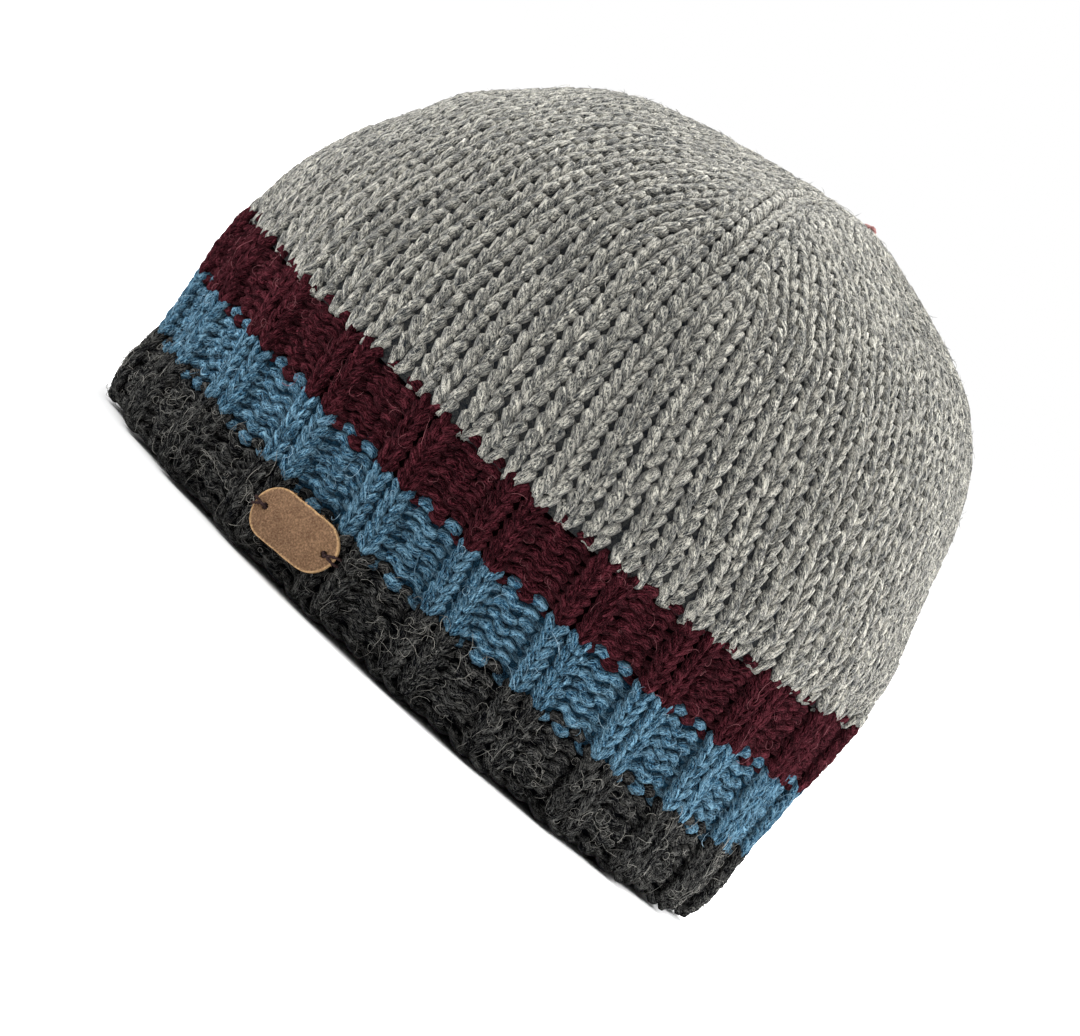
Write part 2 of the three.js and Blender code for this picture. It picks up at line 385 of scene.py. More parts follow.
# Three kinds of loose fibre. Pairs are the least and the most of a thing that varies.
fuzz = {  # bent hairs that stand off the yarn
    "around": 1.0,  # spread round the yarn from its outer side, in radians
    "heading": 0.7,  # spread from the yarn's own direction
    "rooted": 0.93,  # how far out in the yarn a hair starts, in its radii
    "lift": (0.05, 0.5),
    "lengthSpread": 0.35,
    "kink": 0.5,
    "droop": 0.5,
    "thickness": (0.7, 1.3),
    "taper": 0.85,
    "clearance": 0.25,  # how far above the floor it stays
}
nap = {  # the yarn's own short fibre ends, straight and nearly flat on it
    "around": 0.9,
    "heading": 0.5,
    "rooted": 0.97,
    "lift": (0.0, 0.22),
    "length": (0.8, 1.6),
    "thick": 0.07,
    "thickness": (0.7, 1.2),
    "clearance": 0.25,
}
curl = {  # long curled hairs that lie on the knitting
    "steps": 8,
    "share": (0.04, 0.96),  # where they lie between the lower and the upper edge
    "length": (2.5, 9),
    "bend": 0.55,
    "waver": 0.25,
    "rise": (0.3, 1.1),
    "sunk": 0.35,
    "edge": 1,  # how near to the rim and the pole they come
    "narrowest": 5,  # the least half width that their bends are worked out for
    "thickness": (0.8, 1.1),
    "tone": (0.75, 1.1),
    "clearance": 0.3,
}


def fibreRoots(rng, courses, count, kind, inside=0):
    # where fibres leave the yarn, the way out there, and their heading along it
    points, radius = (np.concatenate([c[key] for c in courses]) for key in ("points", "radius"))
    frames = [yarnFrames(c["points"], c["normals"]) for c in courses]
    along, side, up = (np.concatenate([f[axis] for f in frames]) for axis in range(3))
    pick = rng.integers(0, len(points), count)
    bend = math.pi / 2 + rng.normal(0, kind["around"], count)
    if inside:
        bend = bend + math.pi * (rng.random(count) < inside)
    radial = np.cos(bend)[:, None] * side[pick] + np.sin(bend)[:, None] * up[pick]
    heading = rng.normal(0, kind["heading"], count) + math.pi * rng.integers(0, 2, count)
    flat = np.cos(heading)[:, None] * along[pick] + np.sin(heading)[:, None] * np.cross(along[pick], radial)
    return points[pick] + radial * (radius[pick] * kind["rooted"])[:, None], radial, flat


def aboveFloor(lines, kind):
    return lines[lines[..., 2].min(axis=1) > kind["clearance"]]


def fuzzPiece(name, courses, look, seed):
    rng = np.random.default_rng(seed)
    count = look["hairs"]
    root, radial, flat = fibreRoots(rng, courses, count, fuzz, look["inside"])
    lift = rng.uniform(*fuzz["lift"], count)[:, None]
    half = (look["length"] * np.exp(rng.normal(0, fuzz["lengthSpread"], count)))[:, None] / 2
    first = unit(flat + lift * radial)
    second = unit(first + fuzz["kink"] * rng.normal(size=first.shape) - fuzz["droop"] * lift * radial)
    middle = root + first * half
    lines = aboveFloor(np.stack([root, middle, middle + second * half], axis=1), fuzz)
    thick = look["thick"] * rng.uniform(*fuzz["thickness"], len(lines))
    radii = np.stack([thick, thick * fuzz["taper"]], axis=1)
    return fibrePiece(name, lines, radii, rng.random(len(lines)))


def napPiece(name, courses, look, seed):
    rng = np.random.default_rng(seed)
    count = look["nap"]
    root, radial, flat = fibreRoots(rng, courses, count, nap)
    length = rng.uniform(*nap["length"], count)[:, None]
    tip = root + unit(flat + rng.uniform(*nap["lift"], count)[:, None] * radial) * length
    lines = aboveFloor(np.stack([root, tip], axis=1), nap)
    radii = nap["thick"] * rng.uniform(*nap["thickness"], (len(lines), 1))
    return fibrePiece(name, lines, radii, rng.random(len(lines)))


def curlPiece(name, low, high, look, seed):
    rng = np.random.default_rng(seed)
    count, steps = look["curls"], curl["steps"]
    angle = rng.uniform(0, turn, count)
    share = rng.uniform(*curl["share"], count)
    distance = low(angle) * (1 - share) + high(angle) * share
    length = rng.uniform(*curl["length"], count)
    bends = rng.normal(0, curl["bend"], count)[:, None] + rng.normal(0, curl["waver"], (count, steps))
    heading = rng.uniform(0, turn, count)[:, None] + np.cumsum(bends, axis=1)
    x = np.cumsum(np.cos(heading), axis=1) * length[:, None] / steps
    y = np.cumsum(np.sin(heading), axis=1) * length[:, None] / steps
    rise = np.sin(np.linspace(0, math.pi, steps))[None] * rng.uniform(*curl["rise"], count)[:, None]
    _, halfWidth, _ = outlineAt(distance)
    angles = angle[:, None] + x / np.maximum(halfWidth[:, None], curl["narrowest"])
    distances = np.clip(distance[:, None] + y, curl["edge"], wallLength - curl["edge"])
    lines = aboveFloor(fabricPoint(angles, distances, rise - curl["sunk"])[0], curl)
    radii = look["thick"] * rng.uniform(*curl["thickness"], (len(lines), 1)) * np.ones((1, steps - 1))
    return fibrePiece(name, lines, radii, rng.uniform(*curl["tone"], len(lines)))


# Node trees: a Link is one socket, and sums on Links add Math nodes
class Link:
    def __init__(self, sheet, socket):
        self.sheet, self.socket = sheet, socket

    def __add__(self, other):
        return self.sheet.maths("ADD", self, other)

    def __sub__(self, other):
        return self.sheet.maths("SUBTRACT", self, other)

    def __rsub__(self, other):
        return self.sheet.maths("SUBTRACT", other, self)

    def __mul__(self, other):
        return self.sheet.maths("MULTIPLY", self, other)

    __radd__, __rmul__ = __add__, __mul__


class Sheet:
    def __init__(self, name):
        self.material = bpy.data.materials.new(name)
        self.material.use_nodes = True
        self.nodes, self.links = self.material.node_tree.nodes, self.material.node_tree.links
        self.nodes.clear()

    def add(self, kind, settings=None, inputs=None, output=0):
        node = self.nodes.new(kind)
        for key, value in (settings or {}).items():
            if key == "stops":
                ramp = node.color_ramp
                while len(ramp.elements) < len(value):
                    ramp.elements.new(0.5)
                for element, (place, colour) in zip(ramp.elements, value):
                    element.position, element.color = place, (*colour, 1)
            else:
                setattr(node, key, value)
        for key, value in (inputs or {}).items():
            if isinstance(value, Link):
                self.links.new(value.socket, node.inputs[key])
            else:
                node.inputs[key].default_value = value
        return Link(self, node.outputs[output])

    def maths(self, operation, a, b=0.0):
        return self.add("ShaderNodeMath", {"operation": operation}, {0: a, 1: b})

    def place(self):
        return self.add("ShaderNodeTexCoord", output="Object")

    def attribute(self, name):
        return self.add("ShaderNodeAttribute", {"attribute_name": name}, output="Fac")

    def noise(self, vector, scale, detail=3.0, roughness=0.6, distortion=0.0):
        inputs = {"Vector": vector, "Scale": scale, "Detail": detail, "Roughness": roughness}
        return self.add("ShaderNodeTexNoise", None, {**inputs, "Distortion": distortion})

    def fit(self, value, low, high, start, end, kind="LINEAR"):
        inputs = {0: value, 1: low, 2: high, 3: start, 4: end}
        return self.add("ShaderNodeMapRange", {"interpolation_type": kind}, inputs)

    def ramp(self, value, stops):
        return self.add("ShaderNodeValToRGB", {"stops": stops}, {0: value})

    def mix(self, share, a, b, blend="MIX"):
        settings = {"data_type": "RGBA", "blend_type": blend}
        return self.add("ShaderNodeMix", settings, {0: share, 6: a, 7: b}, output=2)

    def bump(self, strength, distance, height):
        inputs = {"Strength": strength, "Distance": distance, "Height": height}
        return self.add("ShaderNodeBump", None, inputs)

    def finish(self, inputs):
        surface = self.add("ShaderNodeBsdfPrincipled", None, inputs)
        output = self.nodes.new("ShaderNodeOutputMaterial")
        self.links.new(surface.socket, output.inputs["Surface"])
        return self.material


# Wools, in linear colours. Their yarn runs from dark to palest through the four fibres; loose
# hairs run through the first three to the stray one, at the places that loose gives.
wools = {
    "grey": {
        "fibres": [
            (0.004, 0.0063, 0.0105), (0.0285, 0.0315, 0.0325),
            (0.114, 0.112, 0.101), (0.56, 0.54, 0.466),
        ],
        "stray": (0.6, 0.58, 0.52),
        "loose": (0.0, 0.3, 0.65, 1.0),
        "tint": (0.9, 0.9, 0.86),
        "sheen": 0.4,
    },
    "maroon": {
        "fibres": [
            (0.0004, 0.0001, 0.0002), (0.0020, 0.0002, 0.0005),
            (0.0100, 0.0010, 0.0022), (0.09, 0.019, 0.026),
        ],
        "stray": (0.22, 0.08, 0.09),
        "loose": (0.0, 0.5, 0.85, 1.0),
        "tint": (0.95, 0.33, 0.4),
        "sheen": 0.065,
    },
    "blue": {
        "fibres": [
            (0.0009, 0.0031, 0.007), (0.0078, 0.032, 0.064),
            (0.035, 0.110, 0.184), (0.18, 0.325, 0.425),
        ],
        "stray": (0.32, 0.46, 0.56),
        "loose": (0.0, 0.4, 0.75, 1.0),
        "tint": (0.6, 0.8, 0.95),
        "sheen": 0.07,
    },
    "charcoal": {
        "fibres": [
            (0.0003, 0.0004, 0.0007), (0.0009, 0.0011, 0.0018),
            (0.0054, 0.0061, 0.0079), (0.108, 0.107, 0.10),
        ],
        "stray": (0.33, 0.32, 0.29),
        "loose": (0.0, 0.45, 0.8, 1.0),
        "tint": (0.8, 0.8, 0.78),
        "sheen": 0.008,
    },
}

# How the fibres wind round the yarn: noises on a helix, two of which draw its dark and pale lines
spinning = {
    "twist": -0.07,  # turns round the yarn in one millimetre
    "girth": 1.3,  # radius of the helix in the noise
    "noises": {  # turns for each turn of the twist, stretch along the yarn, scale, roughness, distortion
        "spun": (1, 0.2, 2.2, 0.6, 0.8),
        "loose": (-0.4, 0.3, 2.6, 0.6, 1.2),
        "gaps": (1.2, 0.17, 1.8, 0.55, 0.7),
        "pale": (-0.2, 0.22, 1.7, 0.55, 1.1),
    },
    "patchScale": 420.0,
    "speckScale": 2600.0,
    "places": (0.435, 0.475, 0.515, 0.575),  # where the four fibre colours lie in the tone
    "gapWidth": 0.06,
    "gapShare": 0.8,
    "paleWidth": 0.05,
    "paintedShadeRange": (0.15, 0.95),  # how deep the yarn lies where its painted shade starts, and where it is darkest
    # how dark the painted shade gets, as a share of the yarn's colour
    "paintedShadeDarkest": 0.22,
    "bumpDistance": 0.0011,
}


def yarnMaterial(name, look):
    sheet = Sheet(name)
    uv = sheet.add("ShaderNodeUVMap", {"uv_map": "yarn"})
    u = sheet.add("ShaderNodeSeparateXYZ", None, {0: uv}, output="X")
    v = sheet.add("ShaderNodeSeparateXYZ", None, {0: uv}, output="Y")
    place = sheet.place()

    def wound(kind):
        turns, stretch, scale, roughness, distortion = spinning["noises"][kind]
        helix = (u + v * (spinning["twist"] * turns)) * turn
        x = sheet.maths("COSINE", helix) * spinning["girth"]
        y = sheet.maths("SINE", helix) * spinning["girth"]
        wrapped = sheet.add("ShaderNodeCombineXYZ", None, {0: x, 1: y, 2: v * stretch})
        return sheet.noise(wrapped, scale, 2.0, roughness, distortion)

    def lines(noise, width):  # thin lines where the noise crosses its middle
        return sheet.fit(sheet.maths("ABSOLUTE", noise - 0.5), 0.0, width, 1.0, 0.0, "SMOOTHSTEP")

    spun, loose = wound("spun"), wound("loose")
    gaps = lines(wound("gaps"), spinning["gapWidth"])
    pale = lines(wound("pale"), spinning["paleWidth"])
    patch = sheet.noise(place, spinning["patchScale"], 2.0, 0.6)
    speck = sheet.noise(place, spinning["speckScale"], 2.0, 0.7)
    tone = spun * 0.35 + loose * 0.25 + patch * 0.12 + speck * 0.28
    colour = sheet.ramp(tone, list(zip(spinning["places"], look["fibres"])))
    darkest, palest = look["fibres"][0], look["fibres"][-1]
    colour = sheet.mix(gaps * spinning["gapShare"], colour, (*darkest, 1))
    colour = sheet.mix(pale * (2.0 * patch - 0.3), colour, (*palest, 1))
    # painted shade: the yarn's colour is darkened the deeper it lies, in the crevices between stitches
    cover = sheet.attribute("cover")
    shade = sheet.fit(cover, *spinning["paintedShadeRange"], 1.0, spinning["paintedShadeDarkest"], "SMOOTHSTEP")
    grey = sheet.add("ShaderNodeCombineXYZ", None, {0: shade, 1: shade, 2: shade})
    colour = sheet.mix(1.0, colour, grey, "MULTIPLY")
    height = spun * 0.5 + loose * 0.3 + speck * 0.12 - gaps * 0.2 + pale * 0.12
    return sheet.finish({
        "Base Color": colour,
        "Roughness": 0.95,
        "Sheen Weight": look["sheen"],
        "Sheen Roughness": 0.4,
        "Sheen Tint": (*look["tint"], 1),
        "Specular IOR Level": 0.0,
        "Normal": sheet.bump(0.9, spinning["bumpDistance"], height),
    })


def fuzzMaterial(name, look):
    sheet = Sheet(name)
    tone = sheet.attribute("tone")
    tone = tone * 0.85 + sheet.noise(sheet.place(), 900.0) * 0.3 - 0.08
    colour = sheet.ramp(tone, list(zip(look["loose"], look["fibres"][:3] + [look["stray"]])))
    return sheet.finish({"Base Color": colour, "Roughness": 0.85, "Specular IOR Level": 0.02})


def feltAndShadeMaterial(name, look):
    sheet = Sheet(name)
    matted = sheet.noise(sheet.place(), 1500.0, 4.0, 0.7, 1.5)
    tufts = sheet.fit(matted, 0.4, 0.68, 0.0, 1.0)
    # its colour runs from the darkest fibre to half the light one, darker than the yarn: partly the matted
    # fibres' own tone, partly painted shade in the gaps between stitches
    dark, _, light = look["fibres"][:3]
    colour = sheet.mix(tufts, (*dark, 1), (*(0.5 * c for c in light), 1))
    bump = sheet.bump(0.8, 0.0006, matted)
    return sheet.finish({"Base Color": colour, "Roughness": 1.0, "Specular IOR Level": 0.0, "Normal": bump})


materials = {}
for name, look in wools.items():
    materials[name] = {
        "yarn": yarnMaterial(name + "Yarn", look),
        "fuzz": fuzzMaterial(name + "Fuzz", look),
        "feltAndShade": feltAndShadeMaterial(name + "Felt", look),
    }


def dress(piece, material, slot, node):
    piece.data.materials.append(material)
    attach(piece, "root")
    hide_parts(node)


def dressWool(piece, wool, kind, node):
    dress(piece, materials[wool][kind], wool + "_wool", node)


# The ribbed band: two knit columns, two purl columns, in three colours
band = {
    "knitOffset": 0.12,  # from a rib's middle to its column's, in rib widths
    "purlOffset": 0.139,
    "edge": 2.9,  # where the first course starts above the rim
    "nodes": {"charcoal": "rim_band_charcoal", "blue": "band_blue", "maroon": "band_maroon"},
    "courses": {"charcoal": 6, "blue": 6, "maroon": 7},
    "fibres": {
        "charcoal": {"hairs": 1300, "nap": 4500, "curls": 2100, "inside": 0.15, "length": 1.7, "thick": 0.05},
        "blue": {"hairs": 1700, "nap": 5500, "curls": 280, "inside": 0.15, "length": 1.2, "thick": 0.055},
        "maroon": {"hairs": 2200, "nap": 5500, "curls": 620, "inside": 0.15, "length": 1.4, "thick": 0.055},
    },
    "feltAndShade": {  # lies deeper where a rib ends
        "depth": (1.5, 1.5), "dip": 0.5, "thickness": 0.8, "around": 8 * hat["ribs"], "rows": 4,
    },
    "seed": 11,
    "fuzzSeed": 100,
    "napSeed": 150,
    "curlSeed": 200,
}
castOn = {  # two strands twisted round each other along the rim: each value, and how far it swings
    "height": (2.1, 0.95),
    "out": (-1.75, 0.8),
    "radius": (0.93, -0.1),
    # the depth at which the rope's painted shade is darkest
    "middle": -2.2,
    "stepsPerColumn": 8,
}


def ribColumns():
    knit, purl = band["knitOffset"], band["purlOffset"]
    offsets = np.array([-knit, knit, 0.5 - purl, 0.5 + purl])
    ribs = np.arange(hat["ribs"])[:, None]
    angles = hat["ribFirstAngle"] + (ribs + offsets) * turn / hat["ribs"]
    return angles.reshape(-1), np.tile([1, 1, -1, -1], hat["ribs"])


def castOnEdge(count):
    # its strands make half a turn round each other for every column
    steps = castOn["stepsPerColumn"] * count
    angle = np.arange(steps) * turn / steps
    ropes = []
    for phase in (0, math.pi):
        around = angle * count / 2 + phase
        distance = castOn["height"][0] + castOn["height"][1] * np.cos(around)
        out = castOn["out"][0] + castOn["out"][1] * np.sin(around)
        radius = castOn["radius"][0] + castOn["radius"][1] * np.cos(around)
        points, normals = fabricPoint(angle, distance, out)
        rope = {"points": points, "normals": normals, "radius": radius}
        ropes.append({**rope, "out": out, "middle": castOn["middle"]})
    return ropes


columns, kinds = ribColumns()
bandRng = np.random.default_rng(band["seed"])
stripeOrder = list(stripes)


def knitStripe(place, name):
    count, look, node = band["courses"][name], band["fibres"][name], band["nodes"][name]

    def low(angle):
        return band["edge"] + 0 * angle if place == 0 else stripeTop(stripeOrder[place - 1], angle)

    def high(angle):
        return stripeTop(name, angle)

    courses = castOnEdge(len(columns)) if place == 0 else []
    for course in range(count):
        def distanceOf(angle, along):
            return low(angle) + (course + 0.5 + along) * (high(angle) - low(angle)) / count

        middle = np.mean(distanceOf(columns, 0 * columns))
        own = columns + hat["ribDrift"] * middle / bandTop
        courses.append(courseLine(bandRng, own, own, own, kinds, distanceOf, ribSize))

    dressWool(yarnPiece(name + "Rib", courses), name, "yarn", node)
    dressWool(feltAndShadePiece(name + "Felt", low, high, band["feltAndShade"]), name, "feltAndShade", node)
    dressWool(fuzzPiece(name + "Fuzz", courses, look, band["fuzzSeed"] + place), name, "fuzz", node)
    dressWool(napPiece(name + "Nap", courses, look, band["napSeed"] + place), name, "fuzz", node)
    dressWool(curlPiece(name + "Curls", low, high, look, band["curlSeed"] + place), name, "fuzz", node)


for place, name in enumerate(stripeOrder):
    knitStripe(place, name)
print("band knitted")

# The crown: rounds of knit stitches, with paired decreases along four spines
crown = {
    "courses": 39,
    "stitches": 76,
    "decreases": [19, 21, 24, 26, 28, 31, 33, 35],
    "fewest": 6,  # stitches to a sector, from which on the decreases are spread out
    "firstAngle": math.radians(-88.6),
    "sectors": 4,
    "smoothings": 4,
    "overlap": 0.7,  # how far its first course reaches down over the maroon
    "poleHole": 1.6,  # how near to the pole its last stitches come
    "parts": {"crownLower": (0, 14), "crownTop": (14, 38)},
    "feltAndShade": {"depth": (1.3, 1.6), "dip": 0, "thickness": 1.6, "around": 96, "rows": 24},
    "feltLow": 1,  # how far the felt reaches down behind the maroon, and ends before the pole
    "feltHigh": 1.2,
    "fibres": {"hairs": 5000, "nap": 17000, "curls": 450, "inside": 0.1, "length": 1.4, "thick": 0.055},
    "seed": 23,
    "fuzzSeed": 31,
    "napSeed": 33,
    "curlSeed": 37,
}


def sectorFeet(perSector, decreases):
    # for each column of a sector, the columns below that it grows from
    if not decreases:
        return [[column] for column in range(perSector)]
    if perSector > crown["fewest"]:
        between = [[column] for column in range(3, perSector - 2)]
        return [[0], [1, 2]] + between + [[perSector - 2, perSector - 1]]
    share = np.arange(perSector - 2) * perSector / (perSector - 2)
    return [[int(math.floor(s)), int(math.ceil(s)) % perSector] for s in share]


def crownColumns():
    # each course: the angles of its columns, and for each column the ones that it grows from
    sectors = crown["sectors"]
    perSector = crown["stitches"] // sectors
    angles, parents = [], []
    for course in range(crown["courses"]):
        before = perSector
        feet = sectorFeet(perSector, course in crown["decreases"])
        perSector = len(feet)
        total = perSector * sectors
        angles.append(crown["firstAngle"] + np.arange(total) * turn / total)
        parents.append([
            [sector * before + foot for foot in own]
            for sector in range(sectors) for own in feet
        ])
    return angles, parents


def footAngles(lower, parents):
    return np.array([np.mean(nearest(lower[own], lower[own[0]])) for own in parents])


def headAngles(below, upper, parents):
    head = below.copy()
    for child, own in enumerate(parents):
        head[own] = nearest(upper[child], below[own])
    return head


def smoothColumns(angles, parents):
    for _ in range(crown["smoothings"]):
        old = [a.copy() for a in angles]
        for course in range(1, len(angles) - 1):
            centre = old[course]
            foot = nearest(footAngles(old[course - 1], parents[course]), centre)
            head = nearest(headAngles(centre, old[course + 1], parents[course + 1]), centre)
            angles[course] = 0.5 * centre + 0.25 * foot + 0.25 * head
    return angles


def knitCrown():
    angles, parents = crownColumns()
    angles = smoothColumns(angles, parents)
    rng = np.random.default_rng(crown["seed"])
    courses = []
    for course in range(crown["courses"] - 1):
        own = angles[course]
        foot = own if course == 0 else nearest(footAngles(angles[course - 1], parents[course]), own)
        head = headAngles(own, angles[course + 1], parents[course + 1])

        def distanceOf(angle, along):
            low = stripeTop("maroon", angle) - crown["overlap"]
            pitch = (wallLength - low) / crown["courses"]
            return np.minimum(low + (course + 0.5 + along) * pitch, wallLength - crown["poleHole"])

        courses.append(courseLine(rng, own, foot, head, np.ones(len(own)), distanceOf, knitSize))
    return courses


def crownLow(angle):
    return stripeTop("maroon", angle) - crown["feltLow"]


def crownHigh(angle):
    return wallLength - crown["feltHigh"] + 0 * angle


crownCourses, crownFibres = knitCrown(), crown["fibres"]
for name, (first, last) in crown["parts"].items():
    dressWool(yarnPiece(name, crownCourses[first:last]), "grey", "yarn", "crown")
dressWool(feltAndShadePiece("crownFelt", crownLow, crownHigh, crown["feltAndShade"]), "grey", "feltAndShade", "crown")
dressWool(fuzzPiece("crownFuzz", crownCourses, crownFibres, crown["fuzzSeed"]), "grey", "fuzz", "crown")
dressWool(napPiece("crownNap", crownCourses, crownFibres, crown["napSeed"]), "grey", "fuzz", "crown")
crownCurls = curlPiece("crownCurls", crownLow, crownHigh, crownFibres, crown["curlSeed"])
dressWool(crownCurls, "grey", "fuzz", "crown")
print("crown knitted")

# The leather label, sewn on the charcoal stripe and bent round with it
label = {
    "width": 23.6,
    "height": 12.6,
    "thickness": 1.4,
    "angle": math.radians(-111.6),
    "centreHeight": 12.9,
    "turn": math.radians(4.5),
    "seat": 0.3,  # how far its back stands off the band
    "grid": (56, 28),
    "wobble": 0.06,  # how unevenly its edge is cut
    "bevel": 0.22,
    "bevelSegments": 3,
    "sharp": math.radians(50),  # edges from here on are rounded
    "smooth": math.radians(40),  # edges up to here are shaded smooth
    "holeOffset": 9.1,
    "holeRadius": 0.85,
    "holeSides": 20,
    "punchLength": 6,
    "dimple": 0.35,  # how far the threads pull the leather in
    "dimpleArea": 3.2,
    "frontFrom": 0.5,  # points farther out than this lie on its front
}
leather = {
    "face": [(0.38, (0.075, 0.036, 0.017)), (0.5, (0.122, 0.068, 0.035)), (0.62, (0.19, 0.112, 0.062))],
    "cutDark": (0.22, 0.12, 0.05),
    "cutPale": (0.58, 0.38, 0.20),
    "wornFrom": 1.0,  # in half heights from the middle line
    "wornTo": 1.07,
    "bumpDistance": 0.0004,
}
labelFuzz = {  # torn leather fibres along the cut edge, most of them on the upper side
    "count": 420,
    "around": 0.62,  # share of the edge that they take, from its top
    "inset": 0.995,
    "out": (0.3, 1.25),
    "rise": (0.2, 0.5),  # mean and spread
    "kinks": (0.8, 0.9),
    "length": (0.25, 0.8),
    "thick": (0.05, 0.09),
    "seed": 5,
}


def labelPlace(points):
    # across, up and out on the label become places on the hat
    across, up, out = points.T
    turnedAcross = across * math.cos(label["turn"]) - up * math.sin(label["turn"])
    turnedUp = across * math.sin(label["turn"]) + up * math.cos(label["turn"])
    _, halfWidth, lean = outlineAt(label["centreHeight"])
    angle = label["angle"] + turnedAcross / (halfWidth + label["seat"])
    radius = halfWidth + label["seat"] + out
    height = label["centreHeight"] + turnedUp
    return np.stack([lean + radius * np.cos(angle), radius * np.sin(angle), height], axis=1)


def coordinates(mesh):
    values = np.empty(3 * len(mesh.vertices))
    mesh.vertices.foreach_get("co", values)
    return values.reshape(-1, 3)


def shapeOval(piece, half):
    # the flat grid becomes an oval with straight sides and a slightly uneven edge
    grid = coordinates(piece.data)
    up = half * np.sin(grid[:, 1] * math.pi / 2)
    across = grid[:, 0] * (label["width"] / 2 - half + np.sqrt(np.maximum(half**2 - up**2, 0)))
    flat = np.stack([across, up, 0 * up], axis=1)
    around = np.arctan2(up, across)
    wave = np.sin(5 * around + 1) + np.sin(9 * around)
    flat[:, :2] *= 1 + (label["wobble"] / half * wave * 0.5)[:, None]
    piece.data.vertices.foreach_set("co", flat.reshape(-1))


def applyModifier(piece, kind, settings):
    bpy.context.view_layer.objects.active = piece
    modifier = piece.modifiers.new(kind, kind)
    for key, value in settings.items():
        setattr(modifier, key, value)
    bpy.ops.object.modifier_apply(modifier=kind)


def punchHole(piece, side):
    bpy.ops.mesh.primitive_cylinder_add(
        vertices=label["holeSides"],
        radius=label["holeRadius"],
        depth=label["punchLength"],
        location=(side * label["holeOffset"], 0, label["thickness"] / 2),
    )
    punch = bpy.context.object
    applyModifier(piece, "BOOLEAN", {"operation": "DIFFERENCE", "solver": "EXACT", "object": punch})
    bpy.data.objects.remove(punch)


def buildLabel():
    half = label["height"] / 2
    bpy.ops.object.select_all(action="DESELECT")
    bpy.ops.mesh.primitive_grid_add(x_subdivisions=label["grid"][0], y_subdivisions=label["grid"][1], size=2)
    piece = bpy.context.object
    piece.name = piece.data.name = "leatherLabel"
    shapeOval(piece, half)
    applyModifier(piece, "SOLIDIFY", {"thickness": label["thickness"], "offset": 1.0})
    rounding = {"width": label["bevel"], "segments": label["bevelSegments"]}
    applyModifier(piece, "BEVEL", {**rounding, "limit_method": "ANGLE", "angle_limit": label["sharp"]})
    for side in (-1, 1):
        punchHole(piece, side)
    shape = coordinates(piece.data)
    x, y = shape[:, 0], shape[:, 1]
    near = sum(np.exp(-((x - s * label["holeOffset"]) ** 2 + y**2) / label["dimpleArea"]) for s in (-1, 1))
    shape[:, 2] -= label["dimple"] * near * (shape[:, 2] > label["frontFrom"])
    edge = np.hypot(np.maximum(np.abs(x) - label["width"] / 2 + half, 0), y) / half
    piece.data.vertices.foreach_set("co", (labelPlace(shape) * mm).reshape(-1))
    piece.data.update()
    attribute(piece, "edge", edge)
    bpy.ops.object.select_all(action="DESELECT")
    piece.select_set(True)
    bpy.context.view_layer.objects.active = piece
    bpy.ops.object.shade_smooth_by_angle(angle=label["smooth"])
    print("label has", sum(len(p.vertices) - 2 for p in piece.data.polygons), "triangles")
    return piece


def leatherMaterial():
    sheet = Sheet("tanLeather")
    place = sheet.place()
    edge = sheet.attribute("edge")
    cloud = sheet.noise(place, 260.0, 4.0, 0.6)
    grain = sheet.noise(place, 2400.0, 3.0, 0.6)
    fringe = sheet.noise(place, 1700.0, 3.0, 0.7)
    pores = sheet.add("ShaderNodeTexVoronoi", None, {"Vector": place, "Scale": 2600.0})
    face = sheet.ramp(cloud * 0.25 + grain * 0.75, leather["face"])
    worn = sheet.fit(edge + fringe * 0.16, leather["wornFrom"], leather["wornTo"], 0.0, 1.0)
    cut = sheet.mix(fringe, (*leather["cutDark"], 1), (*leather["cutPale"], 1))
    height = grain * 0.5 + pores * 0.35 + worn * fringe * 1.2
    return sheet.finish({
        "Base Color": sheet.mix(worn, face, cut),
        "Roughness": 0.6 + worn * 0.3 + cloud * 0.12,
        "Specular IOR Level": 0.15,
        "Normal": sheet.bump(0.8, leather["bumpDistance"], height),
    })


def labelFibres():
    rng = np.random.default_rng(labelFuzz["seed"])
    count, half = labelFuzz["count"], label["height"] / 2
    around = rng.uniform(-1, 1, count) * labelFuzz["around"] * math.pi + math.pi / 2
    cosine, sine = np.cos(around), np.sin(around)
    across = cosine * half + np.sign(cosine) * rng.uniform(0, label["width"] / 2 - half, count)
    root = np.stack([across, sine * half * labelFuzz["inset"], rng.uniform(*labelFuzz["out"], count)], axis=1)
    outward = unit(np.stack([cosine, sine, rng.normal(*labelFuzz["rise"], count)], axis=1))
    firstKink, secondKink = labelFuzz["kinks"]
    first = unit(outward + firstKink * rng.normal(size=outward.shape))
    second = unit(first + secondKink * rng.normal(size=outward.shape))
    length = rng.uniform(*labelFuzz["length"], count)[:, None]
    middle = root + first * length / 2
    lines = np.stack([root, middle, middle + second * length / 2], axis=1)
    lines = labelPlace(lines.reshape(-1, 3)).reshape(lines.shape)
    radii = rng.uniform(*labelFuzz["thick"], (count, 1)) * np.ones((1, 2))
    return fibrePiece("labelFibres", lines, radii, rng.random(count))


leatherFibre = {
    "fibres": [(0.12, 0.06, 0.03), (0.28, 0.16, 0.08), (0.5, 0.32, 0.17)],
    "stray": (0.68, 0.48, 0.28),
    "loose": (0.0, 0.3, 0.65, 1.0),
}
dress(buildLabel(), leatherMaterial(), "tan_leather", "leather_label")
dress(labelFibres(), fuzzMaterial("leatherFibres", leatherFibre), "tan_leather", "leather_label")


